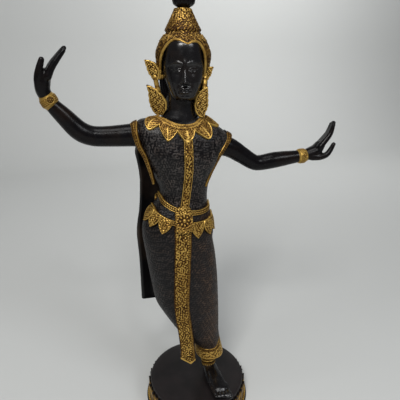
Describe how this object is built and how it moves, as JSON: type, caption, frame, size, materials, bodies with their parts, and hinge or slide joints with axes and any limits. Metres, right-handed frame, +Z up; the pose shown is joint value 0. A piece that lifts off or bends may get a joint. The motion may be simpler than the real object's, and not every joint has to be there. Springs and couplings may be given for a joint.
{
  "type": "temple dancer statuette",
  "caption": "Cast bronze temple dancer on one foot with a spired crown, leaf collar, gold sash and back cloth, arms spread, on a round lotus-petal base.",
  "frame": {"origin": "centre of the round base's flat underside", "axes": "+Z up, the dancer faces -Y, +X towards the dancer's left hand"},
  "size_m": [0.3213, 0.1934, 0.53],
  "materials": {
    "dark_bronze": "near-black patina on cast bronze, glossy on skin, satin on cloth, worn brown on edges",
    "antique_gold": "rubbed antique gold over relief, dark brown in the recesses"
  },
  "bodies": {
    "root": {"dancer": "dark_bronze", "round_base": "dark_bronze"}
  },
  "joints": []
}
